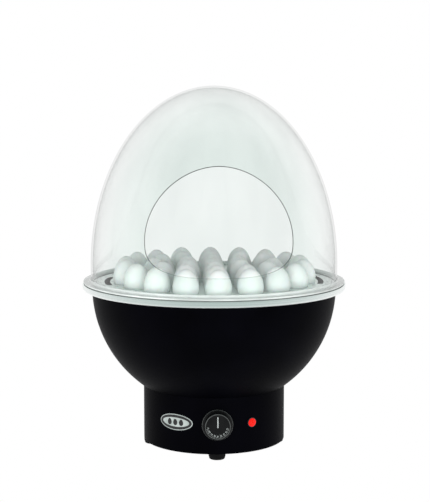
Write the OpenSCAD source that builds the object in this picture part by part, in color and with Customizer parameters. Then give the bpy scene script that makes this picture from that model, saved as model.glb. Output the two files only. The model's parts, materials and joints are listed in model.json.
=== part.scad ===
// Tabletop egg cooker: a hemispherical bowl on a round base, a perforated tray of eggs
// over a heated water pan, and a clear egg-shaped dome with a serving opening.
// Millimetres. +Z is up, the front faces -Y, the origin is on the table under the middle.

/* [Whole object] */
// Height from the table to the top of the dome
total_h = 630; // [600:1:680]
// Outer diameter of the rim ring
rim_d = 460; // [456:1:480]

/* [Dome] */
// Outer diameter of the straight foot of the dome
dome_d = 431; // [426:1:434]
// Wall thickness of the clear dome
dome_wall = 3.5; // [2.5:0.5:4]
// Height above the table where the straight foot turns into the egg curve
dome_spring_z = 317.5; // [314:0.5:330]
// Half width of the serving opening
window_half_w = 121; // [100:1:125]
// Height above the table of the widest line of the opening
window_mid_z = 381; // [375:1:390]
// Height of the opening above its widest line
window_up = 120; // [90:1:130]
// Height of the opening below its widest line
window_down = 58; // [30:1:60]

/* [Bowl and base] */
// Outer radius of the hemispherical bowl
bowl_r = 213.4; // [211:0.2:214]
// Height above the table of the bowl's centre
bowl_z = 281; // [280:0.5:281]
// Wall thickness of the bowl and the base shell
shell_wall = 1.5; // [1:0.5:3]
// Outer radius of the round base
base_r = 124.2; // [122:0.2:126]
// Gap between the table and the lower edge of the base
foot_h = 11; // [10:1:12]
// Diameter of one rubber foot
foot_d = 29; // [28:0.5:32]
// Distance a foot's outer edge stands in from the edge of the base
foot_inset = 0.2; // [0:0.1:4]

/* [Controls] */
// Height of the row of controls above the table
control_z = 62.5; // [58:0.5:66]
// Outer diameter of the knob's skirt
knob_d = 52.6; // [46:0.2:56]
// Depth of the knob in front of the base
knob_depth = 15.5; // [13:0.5:20]
// Place of the pilot lamp round the base, from the front towards the right
lamp_angle = 28; // [24:1:40]
// Diameter of the pilot lamp's lens
lamp_d = 14; // [12:0.5:14]
// Place of the oval badge round the base, from the front towards the left
badge_angle = 34.5; // [32:0.5:45]
// Width of the oval badge
badge_w = 65; // [50:1:68]
// Height of the oval badge
badge_h = 28; // [22:1:30]

/* [Eggs and tray] */
// Greatest diameter of one egg
egg_d = 44.5; // [42:0.5:46]
// Length of one egg
egg_h = 57; // [54:1:60]
// Distance between neighbouring rings of eggs
egg_ring_step = 52; // [50:0.5:52]
// Height above the table of the eggs' lowest points
egg_low_z = 275; // [273:0.5:277]

/* [Hidden] */

$fn = 48;
smooth = 180;
eps = 0.01;
through = 1;
drill_l = 20;

// heights of the stack where dome, ring, pan and bowl meet, from the top down
rim_r = rim_d / 2;
dome_flange_t = 3;
dome_gap = 0.3;
seal_t = 1;
ring_t = 2;
ring_top_z = bowl_z + 7.5;
seal_top_z = ring_top_z + seal_t;
dome_low_z = seal_top_z + dome_gap;
pan_flange_t = 1.2;
pan_flange_z = ring_top_z - ring_t - pan_flange_t;
bowl_lip_t = 2.5;
bowl_lip_z = bowl_z - 0.8;
gasket_z = bowl_lip_z + bowl_lip_t;
ring_low_z = bowl_z - 3.5;
ring_curl_r = 6;
ring_curl_in_r = bowl_r + 0.6;
ring_shoulder_r = 1.5;
ring_inner_r = 207;

// dome
dome_r = dome_d / 2;
dome_rise = total_h - dome_spring_z;
dome_flange_r = rim_r - 1.6;
dome_flange_fillet = 4;
seal_in_r = dome_r - 3;
seal_out_r = dome_flange_r - 0.2;
dome_steps = 40;
window_steps = 24;
window_low_power = 3;
window_up_power = 1.9;

// bowl
bowl_steps = 28;
bowl_lip_r = rim_r - 5;
bowl_foot_z = bowl_z - sqrt(bowl_r * bowl_r - base_r * base_r);
joint_flange_in_r = base_r - 20;
joint_bolt_r = base_r - 10;
joint_bolts = 6;
joint_bolt_l = 12;
joint_start = 30;

// water pan
pan_r = 200;
pan_wall = 1.2;
pan_corner_r = 25;
pan_low_z = bowl_z - 76;
pan_floor_z = pan_low_z + pan_wall;
pan_corner_steps = 8;
pan_flange_r = rim_r - 9;
gasket_in_r = pan_r + 12;

// tray
tray_r = 205.5;
tray_t = 1.2;
tray_top_z = 290.2;
tray_low_z = ring_top_z - ring_t + dome_gap;
slot_r = 187;
slot_w = 10;
slot_half_angle = 14;
steam_hole_r = 2.2;
steam_inner_r = egg_ring_step / 2;
steam_second_r = egg_ring_step + 26;
steam_third_r = 2 * egg_ring_step + 26;
steam_fourth_r = 3 * egg_ring_step + 22;
steam_edge_r = tray_r - 7;
egg_rings = 3;
egg_taper = 0.12;
egg_steps = 20;
egg_contact_r = egg_radius_at((tray_top_z - egg_low_z) / egg_h);
egg_hole_r = egg_contact_r + 0.1;

// heating element
element_ring_r = 95;
element_tube_r = 4.25;
element_z = pan_floor_z + 16;
element_end_angle = 150;
element_bend_r = 12;
element_leg_z = pan_low_z - 26;
element_seal_r = 8;
element_seal_t = 2;
element_nut_r = 9;
element_nut_h = 6;
element_bore_r = element_tube_r + 0.15;

// base
base_top_z = bowl_foot_z;
ledge_z = foot_h + 5;
ledge_t = 2;
ledge_in_r = base_r - 9.4;
plate_t = 2;
plate_z = ledge_z - plate_t;
plate_r = base_r - shell_wall - 0.3;
plate_screw_at_r = base_r - shell_wall - 4.1;
plate_screws = 4;
plate_screw_start = 45;
plate_screw_l = 9;
plate_top_z = ledge_z;
vent_rows = [28, 44, 60, 76];
vent_r = 3;
vent_spacing = 6;
feet_count = 4;
foot_at_r = base_r - foot_inset - foot_d / 2;
foot_recess_h = 6;
foot_screw_l = 16;
foot_play = 0.3;

// screws
m5_r = 2.5;
m5_head_r = 4.5;
m5_head_h = 3.2;
m5_nut_r = 4.6;
m5_nut_h = 4;
m4_r = 2;
m4_head_r = 3.6;
m4_head_h = 2.2;
hole_play = 0.3;
thread_play = 0.05;

// thermostat and knob
bush_r = 5;
bush_out = 6;
shaft_r = 3;
shaft_play = 0.05;
thermostat_w = 36;
thermostat_d = 28;
thermostat_set_back = 6;
thermostat_nut_r = 8.6;
thermostat_nut_h = 3;
thermostat_tab_x = 9;
knob_face_r = 21.4;
knob_back = 0.8;
knob_skirt_t = 3.2;
knob_face_drop = 0.8;
knob_edge_r = 3.4;
knob_hollow_r = 12;
knob_hollow_l = 7.5;
shaft_in_knob_l = 12;
pointer_w = 1.8;
pointer_t = 0.5;
pointer_low = 2;
pointer_high = 16.5;

// bulb
bulb_r = 3;
bulb_half_l = 42;
bulb_y = -50;
bulb_z = pan_floor_z + 9;
bulb_gland_x = 62;
capillary_r = 1;
clip_x = 26;
clip_l = 8;
clip_wall = 1.5;
bulb_gland_hex_r = 7;
bulb_gland_thread_r = 4;
bulb_gland_hex_t = 3;
bulb_gland_nut_t = 5;

// thermal cut-out
cutout_r = 8;
cutout_h = 12;
cutout_ear_x = 14;
cutout_ear_r = 5;
cutout_ear_t = 2;
cutout_stud_r = 1.5;
cutout_stud_l = 6;
cutout_nut_r = 3.2;
cutout_nut_h = 2.4;

// flat blade terminals
blade_t = 0.8;
blade_w = 6;
blade_l = 8;

// lamp
lamp_bezel_r = lamp_d / 2 + 1.2;
lamp_bezel_t = 2.5;
lamp_floor = 1.2;
lamp_edge = 3;
lamp_crown = 2.2;
lamp_barrel_r = 6;
lamp_barrel_l = 26;
lamp_nut_r = 10.5;
lamp_nut_h = 4;
lamp_blade_w = 3;

// badge
badge_t = 0.9;
badge_raised_t = 0.25;
badge_rim = 3;
badge_band_w = 9;
badge_window_w = badge_w - badge_rim - badge_band_w;
badge_window_h = badge_h - badge_rim - badge_band_w;
emblem_w = 0.15 * badge_window_w;
emblem_h = 0.69 * badge_window_h;
emblem_pitch = 0.217 * badge_window_w;
emblem_taper = 0.15;

// cable gland
gland_z = 50;
gland_bore_r = 4.2;
gland_thread_r = 10;
gland_hex_r = 15;
gland_hex_t = 6;
gland_cap_r = 12.5;
gland_cap_l = 16;
gland_barrel_l = 16;
gland_tube_r = 6;
gland_seal_in_r = 4.5;
gland_nut_r = 14.5;
gland_nut_h = 5;
seat = 0.05;

// terminal block and earth
block_y = 56;
block_size = [48, 22, 18];
pole_pitch = 15;
pole_depth = 6;
pole_hole_r = 3.2;
pole_screw_r = 3;
pole_screw_h = 3.5;
pole_slot_w = 1;
pole_wire_hole_r = 2;
pole_wire_z = 7;
earth_x = 52;
earth_y = 30;
earth_head_t = 1.8;
wire_r = 1.6;
wire_sides = 8;

// ---------- helpers ----------

// Stands children on the outside of the base, local +Z outwards, local +Y up
module on_base(angle, z, out = 0) {
    rotate([0, 0, angle]) translate([0, -base_r - out, z]) rotate([90, 0, 0]) children();
}

// Repeats children round the middle, the first one at the start angle
module around(count, start = 0) {
    for (i = [0 : count - 1]) rotate([0, 0, start + i * 360 / count]) children();
}

// A round rod between two heights
module rod(r, low, high, sides = $fn) {
    translate([0, 0, low]) cylinder(r = r, h = high - low, $fn = sides);
}

// A cutter for a round hole through the sheet at zero
module drill(r) {
    rod(r, -drill_l / 2, drill_l / 2);
}

// A block centred on the Z axis between two heights
module block(w, d, low, high) {
    translate([-w / 2, -d / 2, low]) cube([w, d, high - low]);
}

// A flat ring between two radii
module ring(r_in, r_out, z, h) {
    difference() {
        rod(r_out, z, z + h, smooth);
        rod(r_in, z - through, z + h + through, smooth);
    }
}

// Points along an arc in the profile plane
function arc(cx, cy, r, a0, a1, steps) =
    [for (i = [0 : steps]) let (a = a0 + (a1 - a0) * i / steps) [cx + r * cos(a), cy + r * sin(a)]];

// Points on a soft oval: power 2 is an ellipse, more is squarer
function oval(half_w, half_h, power, a0, a1, steps) =
    [for (i = [0 : steps]) let (a = a0 + (a1 - a0) * i / steps)
        [half_w * sign(cos(a)) * pow(abs(cos(a)), 2 / power),
         half_h * sign(sin(a)) * pow(abs(sin(a)), 2 / power)]];

// Radius of an egg at a share of its length, wide end down
function egg_radius_at(share) =
    let (a = asin(2 * share - 1)) egg_d / 2 * cos(a) * (1 - egg_taper * sin(a));

// Smooth curve through hand-placed points
function curve_point(a, b, c, d, t) =
    0.5 * (2 * b + (c - a) * t + (2 * a - 5 * b + 4 * c - d) * t * t
           + (3 * b - a - 3 * c + d) * t * t * t);
function curve(p, steps) =
    let (last = len(p) - 1)
    [for (i = [0 : last - 1]) for (j = [0 : steps - 1])
        curve_point(p[max(i - 1, 0)], p[i], p[i + 1], p[min(i + 2, last)], j / steps),
     p[last]];

// A round tube swept along a path
function unit(v) = v / norm(v);
function heading(p, i) = unit(p[min(i + 1, len(p) - 1)] - p[max(i - 1, 0)]);
function carried(p, i, side) =
    i == len(p) ? [] :
    let (t = heading(p, i), s = unit(side - t * (side * t))) concat([s], carried(p, i + 1, s));
module tube(path, r, sides = wire_sides, start_side = [1, 0, 0.01]) {
    side = carried(path, 0, start_side);
    rings = len(path);
    points = [for (i = [0 : rings - 1]) for (k = [0 : sides - 1])
        let (up = cross(heading(path, i), side[i]), a = 360 * k / sides)
        path[i] + r * (cos(a) * side[i] + sin(a) * up)];
    walls = [for (i = [0 : rings - 2]) for (k = [0 : sides - 1])
        let (n = (k + 1) % sides)
        [i * sides + k, (i + 1) * sides + k, (i + 1) * sides + n, i * sides + n]];
    first_cap = [for (k = [0 : sides - 1]) k];
    last_cap = [for (k = [sides - 1 : -1 : 0]) (rings - 1) * sides + k];
    polyhedron(points = points, faces = concat(walls, [first_cap, last_cap]), convexity = 8);
}

// A pan-head screw standing along +Z, its head below zero
module screw(r, head_r, head_h, length) {
    rod(head_r, -head_h, 0);
    rod(r, 0, length);
}

// A hexagon nut standing along +Z
module nut(across_r, bore_r, h) {
    difference() {
        rod(across_r, 0, h, 6);
        rod(bore_r + thread_play, -through, h + through);
    }
}

// ---------- dome ----------

// Half section of the dome's outer or inner skin above the spring line
function dome_skin(r, rise) =
    [for (i = [0 : dome_steps]) let (a = 90 * i / dome_steps)
        [r * cos(a), dome_spring_z + rise * sin(a)]];

module dome_section() {
    fillet = dome_flange_fillet;
    flange_top_z = dome_low_z + dome_flange_t;
    outer = dome_skin(dome_r, dome_rise);
    inner = dome_skin(dome_r - dome_wall, dome_rise - dome_wall);
    polygon(concat(
        [[dome_flange_r, dome_low_z], [dome_flange_r, flange_top_z]],
        arc(dome_r + fillet, flange_top_z + fillet, fillet, 270, 180, 6),
        outer,
        [for (i = [dome_steps : -1 : 0]) inner[i]],
        [[dome_r - dome_wall, dome_low_z]]
    ));
}

// Outline of the serving opening seen from the front: squarer below, rounder above
module window_outline() {
    translate([0, window_mid_z]) polygon(concat(
        oval(window_half_w, window_up, window_up_power, 0, 180, window_steps),
        [for (p = oval(window_half_w, window_down, window_low_power, 180, 360, window_steps))
            if (p[1] < -eps) p]
    ));
}

module dome() {
    color([0.89, 0.93, 0.92, 0.35]) difference() {
        rotate_extrude($fn = smooth) dome_section();
        rotate([90, 0, 0]) linear_extrude(height = rim_d) window_outline();
    }
}

module dome_seal() {
    color([0.25, 0.27, 0.27]) ring(seal_in_r, seal_out_r, ring_top_z, seal_t);
}

// ---------- rim, tray and eggs ----------

// C-section ring: flat top, rounded shoulder, skirt and a curled lower edge
module rim_ring() {
    shoulder = ring_shoulder_r;
    inner_curl = ring_curl_r - ring_t;
    curl_z = ring_low_z + ring_curl_r;
    color([0.78, 0.82, 0.81]) rotate_extrude($fn = smooth) polygon(concat(
        [[ring_inner_r, ring_top_z - ring_t], [ring_inner_r, ring_top_z]],
        arc(rim_r - shoulder, ring_top_z - shoulder, shoulder, 90, 0, 4),
        arc(rim_r - ring_curl_r, curl_z, ring_curl_r, 0, -90, 8),
        [[ring_curl_in_r, ring_low_z], [ring_curl_in_r, ring_low_z + ring_t]],
        arc(rim_r - ring_curl_r, curl_z, inner_curl, -90, 0, 8),
        [[rim_r - ring_t, ring_top_z - ring_t]]
    ));
}

// One egg with its wide end down, standing on zero
module egg() {
    rotate_extrude() polygon(concat(
        [[0, 0]],
        [for (i = [1 : egg_steps - 1]) let (share = (1 - cos(180 * i / egg_steps)) / 2)
            [egg_radius_at(share), share * egg_h]],
        [[0, egg_h]]
    ));
}

// Places children at every egg: one in the middle and rings of 6, 12 and 18
module at_eggs() {
    children();
    for (row = [1 : egg_rings]) around(6 * row)
        translate([0, -row * egg_ring_step, 0]) children();
}

module eggs() {
    color([0.93, 0.95, 0.94]) at_eggs() translate([0, 0, egg_low_z]) egg();
}

// A curved slot for the fingers that lift the tray
module lifting_slot() {
    half = slot_half_angle;
    for (end = [-half, half]) rotate([0, 0, end]) translate([0, -slot_r, 0]) drill(slot_w / 2);
    rotate([0, 0, -90 - half]) rotate_extrude(angle = 2 * half, $fn = smooth)
        translate([slot_r - slot_w / 2, -drill_l / 2]) square([slot_w, drill_l]);
}

module steam_holes(count, r, start) {
    around(count, start) translate([0, -r, 0]) drill(steam_hole_r);
}

module egg_tray() {
    color([0.8, 0.83, 0.82]) difference() {
        rod(tray_r, tray_low_z, tray_top_z, smooth);
        rod(tray_r - tray_t, tray_low_z - through, tray_top_z - tray_t, smooth);
        translate([0, 0, tray_top_z]) {
            at_eggs() drill(egg_hole_r);
            around(2, 90) lifting_slot();
            steam_holes(6, steam_inner_r, 0);
            steam_holes(6, steam_second_r, 30);
            steam_holes(12, steam_third_r, 15);
            steam_holes(18, steam_fourth_r, 10);
            steam_holes(36, steam_edge_r, 5);
        }
    }
}

// ---------- bowl and water pan ----------

module bowl() {
    top_a = asin((bowl_lip_z - bowl_z) / bowl_r);
    low_a = -acos(base_r / bowl_r);
    inner_r = bowl_r - shell_wall;
    inner_low_a = asin((bowl_foot_z + shell_wall - bowl_z) / inner_r);
    color([0.03, 0.03, 0.035]) difference() {
        rotate_extrude($fn = smooth) polygon(concat(
            [[joint_flange_in_r, bowl_foot_z]],
            arc(0, bowl_z, bowl_r, low_a, top_a, bowl_steps),
            [[bowl_lip_r, bowl_lip_z], [bowl_lip_r, gasket_z], [inner_r, gasket_z]],
            arc(0, bowl_z, inner_r, top_a, inner_low_a, bowl_steps),
            [[joint_flange_in_r, bowl_foot_z + shell_wall]]
        ));
        at_joint_bolts(bowl_foot_z) drill(m5_r + hole_play);
    }
}

// Places children at every bolt of the joint between the bowl and the base
module at_joint_bolts(z) {
    around(joint_bolts, joint_start) translate([0, -joint_bolt_r, z]) children();
}

module pan_gasket() {
    color([0.75, 0.76, 0.74]) ring(gasket_in_r, pan_flange_r, gasket_z, pan_flange_z - gasket_z);
}

module water_pan() {
    inner = pan_r - pan_wall;
    corner_z = pan_low_z + pan_corner_r;
    hub = pan_r - pan_corner_r;
    color([0.75, 0.77, 0.78]) difference() {
        rotate_extrude($fn = smooth) polygon(concat(
            [[0, pan_low_z]],
            arc(hub, corner_z, pan_corner_r, -90, 0, pan_corner_steps),
            [[pan_r, pan_flange_z], [pan_flange_r, pan_flange_z]],
            [[pan_flange_r, pan_flange_z + pan_flange_t], [inner, pan_flange_z + pan_flange_t]],
            arc(hub, corner_z, pan_corner_r - pan_wall, 0, -90, pan_corner_steps),
            [[0, pan_floor_z]]
        ));
        at_element_legs() drill(element_tube_r + hole_play);
        translate([bulb_gland_x, bulb_y, pan_low_z]) drill(bulb_gland_thread_r + hole_play);
    }
}

// ---------- heating and sensing ----------

// The element's centre line: up one leg, round the pan and down the other leg
function on_element(angle, z) = [element_ring_r * sin(angle), -element_ring_r * cos(angle), z];
function element_bend(a) =
    on_element(-element_end_angle + (1 - cos(a)) * element_bend_r / element_ring_r * 180 / PI,
               element_z - element_bend_r + element_bend_r * sin(a));
function element_path() =
    let (run = element_end_angle - 10,
         rise = [for (i = [0 : 8]) element_bend(90 * i / 8)])
    concat(
        [on_element(-element_end_angle, element_leg_z)],
        rise,
        [for (i = [1 : 47]) on_element(-run + 2 * run * i / 48, element_z)],
        [for (i = [8 : -1 : 0]) [-rise[i][0], rise[i][1], rise[i][2]]],
        [on_element(element_end_angle, element_leg_z)]
    );

module heating_element() {
    color([0.42, 0.42, 0.43]) tube(element_path(), element_tube_r, 12);
}

// Places children where the element's two legs pass the pan's underside
module at_element_legs() {
    for (side = [-1, 1]) rotate([0, 0, side * element_end_angle])
        translate([0, -element_ring_r, pan_low_z]) children();
}

module element_seals() {
    color([0.7, 0.3, 0.2]) at_element_legs() difference() {
        rod(element_seal_r, -element_seal_t, 0);
        drill(element_bore_r);
    }
}

module element_nuts() {
    color([0.72, 0.6, 0.3]) at_element_legs()
        translate([0, 0, -element_seal_t - element_nut_h])
        nut(element_nut_r, element_bore_r, element_nut_h);
}

// Sensing bulb in the water and the capillary that leads down to the thermostat
module thermostat_bulb() {
    gland_x = bulb_gland_x;
    path = [
        [bulb_half_l - 1, bulb_y, bulb_z], [52, bulb_y, bulb_z], [59, bulb_y, bulb_z - 2],
        [gland_x, bulb_y, bulb_z - 9], [gland_x, bulb_y, pan_low_z - 20], [56, -54, 150],
        [34, -70, 120], [12, -86, 100], [8, -100, 88],
        [8, -105, control_z + thermostat_w / 2 + 0.3]
    ];
    color([0.72, 0.45, 0.3]) {
        translate([0, bulb_y, bulb_z]) rotate([0, 90, 0]) rod(bulb_r, -bulb_half_l, bulb_half_l);
        tube(curve(path, 5), capillary_r, 8, [0, 1, 0]);
    }
}

module bulb_clips() {
    clip_w = 2 * (bulb_r + clip_wall);
    mouth = 3.6;
    color([0.75, 0.77, 0.78]) for (x = [-clip_x, clip_x]) translate([x, bulb_y, 0]) difference() {
        block(clip_l, clip_w, pan_floor_z, bulb_z + 2);
        translate([0, 0, bulb_z]) rotate([0, 90, 0]) drill(bulb_r + 0.1);
        block(2 * clip_l, mouth, bulb_z, bulb_z + drill_l);
    }
}

module bulb_gland() {
    bottom_z = pan_low_z - bulb_gland_nut_t;
    color([0.72, 0.6, 0.3]) translate([bulb_gland_x, bulb_y, 0]) difference() {
        union() {
            rod(bulb_gland_hex_r, pan_floor_z, pan_floor_z + bulb_gland_hex_t, 6);
            rod(bulb_gland_thread_r, bottom_z - 3, pan_floor_z + bulb_gland_hex_t);
            rod(bulb_gland_hex_r, bottom_z, pan_low_z, 6);
        }
        translate([0, 0, pan_low_z]) drill(capillary_r + 0.8);
    }
}

// Places children at the cut-out's two studs under the pan
module at_cutout_studs() {
    for (x = [-cutout_ear_x, cutout_ear_x]) translate([x, 0, 0]) children();
}

module thermal_cutout() {
    bottom = -cutout_ear_t - cutout_h;
    color([0.88, 0.87, 0.82]) translate([0, 0, pan_low_z]) {
        difference() {
            hull() at_cutout_studs() rod(cutout_ear_r, -cutout_ear_t, 0);
            at_cutout_studs() drill(cutout_stud_r + 0.2);
        }
        rod(cutout_r, bottom, eps - cutout_ear_t);
        for (x = [-5, 5]) translate([x, 0, 0]) block(blade_t, blade_w, bottom - blade_l, bottom + 1);
    }
}

module cutout_screws() {
    top = -cutout_ear_t;
    color([0.75, 0.75, 0.76]) translate([0, 0, pan_low_z]) at_cutout_studs() {
        rod(cutout_stud_r, -cutout_stud_l, 0);
        difference() {
            rod(cutout_nut_r, top - cutout_nut_h, top, 6);
            drill(cutout_stud_r);
        }
    }
}

// ---------- base ----------

module base_shell() {
    inner_r = base_r - shell_wall;
    color([0.03, 0.03, 0.035]) difference() {
        union() {
            ring(inner_r, base_r, foot_h, base_top_z - foot_h);
            ring(joint_flange_in_r, base_r - eps, base_top_z - shell_wall, shell_wall);
            ring(ledge_in_r, base_r - eps, ledge_z, ledge_t);
        }
        at_joint_bolts(base_top_z) drill(m5_r + hole_play);
        at_plate_screws(ledge_z) drill(m4_r + eps);
        on_base(0, control_z) drill(bush_r + hole_play);
        on_base(lamp_angle, control_z) drill(lamp_barrel_r + hole_play);
        on_base(180, gland_z) drill(gland_thread_r + hole_play);
    }
}

module bowl_bolts() {
    color([0.7, 0.71, 0.72]) at_joint_bolts(bowl_foot_z + shell_wall) mirror([0, 0, 1])
        screw(m5_r, m5_head_r, m5_head_h, joint_bolt_l);
}

module bowl_nuts() {
    color([0.7, 0.71, 0.72]) at_joint_bolts(base_top_z - shell_wall - m5_nut_h)
        nut(m5_nut_r, m5_r, m5_nut_h);
}

// Places children at the bottom plate's screws
module at_plate_screws(z) {
    around(plate_screws, plate_screw_start) translate([0, -plate_screw_at_r, z]) children();
}

// Places children at the four feet
module at_feet(z = 0) {
    around(feet_count) translate([0, -foot_at_r, z]) children();
}

module bottom_plate() {
    color([0.62, 0.64, 0.65]) difference() {
        rod(plate_r, plate_z, plate_top_z, smooth);
        at_plate_screws(plate_z) drill(m4_r + hole_play);
        at_feet(plate_z) drill(m5_r + hole_play);
        for (r = vent_rows) around(round(r / vent_spacing), 12)
            translate([0, -r, plate_z]) drill(vent_r);
        translate([earth_x, earth_y, plate_z]) drill(m5_r + hole_play);
    }
}

module bottom_plate_screws() {
    color([0.7, 0.71, 0.72]) at_plate_screws(plate_z)
        screw(m4_r, m4_head_r, m4_head_h, plate_screw_l);
}

// One foot: rounded below, with a collar inside the base's wall and a recess for its screw
module foot() {
    r = foot_d / 2;
    round_r = 2;
    shoulder_z = foot_h - foot_play;
    collar_r = min(r - foot_play, base_r - shell_wall - foot_play - foot_at_r);
    difference() {
        rotate_extrude() polygon(concat(
            [[0, 0]],
            arc(r - 1 - round_r, round_r, round_r, -90, 0, 5),
            [[r, foot_h / 2], [r, shoulder_z], [collar_r, shoulder_z], [collar_r, plate_z]],
            [[0, plate_z]]
        ));
        rod(m5_head_r + 1, -through, foot_recess_h);
        rod(m5_r + hole_play, 0, drill_l);
    }
}

module feet() {
    color([0.06, 0.06, 0.06]) at_feet() foot();
}

module foot_screws() {
    color([0.7, 0.71, 0.72]) at_feet(foot_recess_h) screw(m5_r, m5_head_r, m5_head_h, foot_screw_l);
}

module foot_nuts() {
    color([0.7, 0.71, 0.72]) at_feet(plate_top_z) nut(m5_nut_r, m5_r, m5_nut_h);
}

// ---------- knob and thermostat ----------

module knob() {
    skirt_r = knob_d / 2;
    skirt_z = knob_back + knob_skirt_t;
    lip = knob_face_drop;
    color([0.05, 0.05, 0.055]) on_base(0, control_z) difference() {
        rotate_extrude($fn = smooth) polygon(concat(
            [[0, knob_back], [skirt_r, knob_back]],
            arc(skirt_r - knob_edge_r, skirt_z, knob_edge_r, 0, 70, 6),
            arc(knob_face_r - lip + 0.2, knob_depth - lip, lip, 10, 90, 4),
            [[knob_face_r - 2 * lip, knob_depth - lip], [0, knob_depth - lip]]
        ));
        rod(knob_hollow_r, knob_back - through, knob_back + knob_hollow_l);
        rod(shaft_r, knob_back - through, knob_back + shaft_in_knob_l);
        pointer_block(0);
    }
}

// The pointer runs from near the face's top edge to just below its middle
module pointer_block(grow) {
    translate([-pointer_w / 2, -pointer_low, knob_depth - knob_face_drop - pointer_t])
        cube([pointer_w, pointer_low + pointer_high, pointer_t + grow]);
}

module knob_pointer() {
    color([0.93, 0.94, 0.93]) on_base(0, control_z) pointer_block(0.2);
}

module thermostat_shaft() {
    color([0.75, 0.76, 0.77]) on_base(0, control_z)
        rod(shaft_r, 1 - thermostat_set_back, knob_back + shaft_in_knob_l);
}

module thermostat_body() {
    front = -thermostat_set_back;
    back = front - thermostat_d;
    color([0.8, 0.78, 0.72]) on_base(0, control_z) {
        difference() {
            union() {
                block(thermostat_w, thermostat_w, back, front);
                rod(bush_r, front - eps, bush_out - eps);
            }
            rod(shaft_r + shaft_play, front + 0.5, bush_out + through);
        }
        for (x = [-thermostat_tab_x, thermostat_tab_x]) translate([x, 0, 0])
            block(blade_w, blade_t, back - blade_l, back + 1);
    }
}

module thermostat_nut() {
    color([0.75, 0.76, 0.77]) on_base(0, control_z, seat)
        nut(thermostat_nut_r, bush_r, thermostat_nut_h);
}

// ---------- pilot lamp ----------

// Domed red lens standing proud of its bezel
module lamp_lens() {
    r = lamp_d / 2;
    ball = (r * r + lamp_crown * lamp_crown) / (2 * lamp_crown);
    edge_a = asin(r / ball);
    color([0.9, 0.05, 0.03]) on_base(lamp_angle, control_z)
        rotate_extrude() polygon(concat(
            [[0, lamp_floor], [r, lamp_floor]],
            arc(0, lamp_edge + lamp_crown - ball, ball, 90 - edge_a, 90, 8)
        ));
}

module lamp_body() {
    color([0.12, 0.12, 0.125]) on_base(lamp_angle, control_z) {
        difference() {
            rod(lamp_bezel_r, 2 * seat, lamp_bezel_t);
            rod(lamp_d / 2 + seat, lamp_floor, lamp_bezel_t + through);
        }
        rod(lamp_barrel_r, -lamp_barrel_l, lamp_floor - seat);
        for (x = [-lamp_blade_w, lamp_blade_w]) translate([x, 0, 0])
            block(lamp_blade_w, blade_t, 1 - lamp_barrel_l - blade_l, 1 - lamp_barrel_l);
    }
}

module lamp_nut() {
    color([0.2, 0.2, 0.2]) on_base(lamp_angle, control_z, -shell_wall - 0.6 - lamp_nut_h)
        nut(lamp_nut_r, lamp_barrel_r, lamp_nut_h);
}

// ---------- badge ----------

// The layer of an upright outline that lies between two heights above the base's wall
module on_wall(low, high) {
    intersection() {
        on_base(-badge_angle, control_z, -drill_l) linear_extrude(height = 2 * drill_l) children();
        ring(base_r + low, base_r + high, control_z - badge_h, 2 * badge_h);
    }
}

module oval_outline(w, h, taper = 0, steps = 48) {
    polygon([for (i = [0 : steps - 1]) let (a = 360 * i / steps)
        [w / 2 * cos(a) * (1 - taper * sin(a)), h / 2 * sin(a)]]);
}

module badge_plate() {
    color([0.72, 0.78, 0.76]) on_wall(0, badge_t) oval_outline(badge_w, badge_h);
}

module badge_band() {
    color([0.04, 0.04, 0.045]) on_wall(badge_t, badge_t + badge_raised_t) difference() {
        oval_outline(badge_w - badge_rim, badge_h - badge_rim);
        oval_outline(badge_window_w, badge_window_h);
    }
}

// Plain emblem: three upright egg shapes side by side
module badge_emblem() {
    color([0.06, 0.07, 0.07]) on_wall(badge_t, badge_t + badge_raised_t) for (i = [-1 : 1])
        translate([i * emblem_pitch, 0]) oval_outline(emblem_w, emblem_h, emblem_taper, 32);
}

// ---------- electrics in the base ----------

module at_poles() {
    for (i = [-1 : 1]) translate([i * pole_pitch, block_y, plate_top_z]) children();
}

module terminal_block() {
    size = block_size;
    color([0.9, 0.9, 0.87]) difference() {
        translate([0, block_y, plate_top_z]) block(size[0], size[1], 0, size[2]);
        at_poles() rod(pole_hole_r, size[2] - pole_depth, size[2] + through);
        at_poles() translate([0, 0, pole_wire_z]) rotate([90, 0, 0])
            rod(pole_wire_hole_r, -size[1], size[1]);
    }
}

module terminal_screws() {
    top = pole_screw_h;
    color([0.75, 0.68, 0.45]) at_poles() translate([0, 0, block_size[2] - pole_depth])
        difference() {
            rod(pole_screw_r, 0, top);
            block(3 * pole_screw_r, pole_slot_w, top - pole_slot_w, top + through);
        }
}

module earth_stud() {
    color([0.75, 0.68, 0.45]) translate([earth_x, earth_y, plate_z])
        screw(m5_r, m5_head_r, earth_head_t, foot_screw_l);
}

module earth_nut() {
    color([0.75, 0.68, 0.45]) translate([earth_x, earth_y, plate_top_z])
        nut(m5_nut_r, m5_r, m5_nut_h);
}

module cable_gland() {
    color([0.12, 0.12, 0.12]) on_base(180, gland_z) difference() {
        union() {
            rod(gland_hex_r, seat, seat + gland_hex_t, 6);
            rod(gland_thread_r, -gland_barrel_l, 1);
        }
        rod(gland_tube_r, -gland_barrel_l - through, gland_hex_t + through);
    }
}

module gland_seal() {
    color([0.3, 0.3, 0.3]) on_base(180, gland_z) difference() {
        rod(gland_tube_r - 0.1, -2, gland_hex_t);
        rod(gland_seal_in_r, -drill_l, drill_l);
    }
}

module gland_cap() {
    edge = 4;
    color([0.1, 0.1, 0.1]) on_base(180, gland_z, gland_hex_t + seat) difference() {
        rotate_extrude() polygon(concat(
            [[0, 0], [gland_cap_r, 0]],
            arc(gland_cap_r - edge, gland_cap_l - edge, edge, 0, 90, 5),
            [[0, gland_cap_l]]
        ));
        rod(gland_bore_r, -through, gland_cap_l + through);
    }
}

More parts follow.
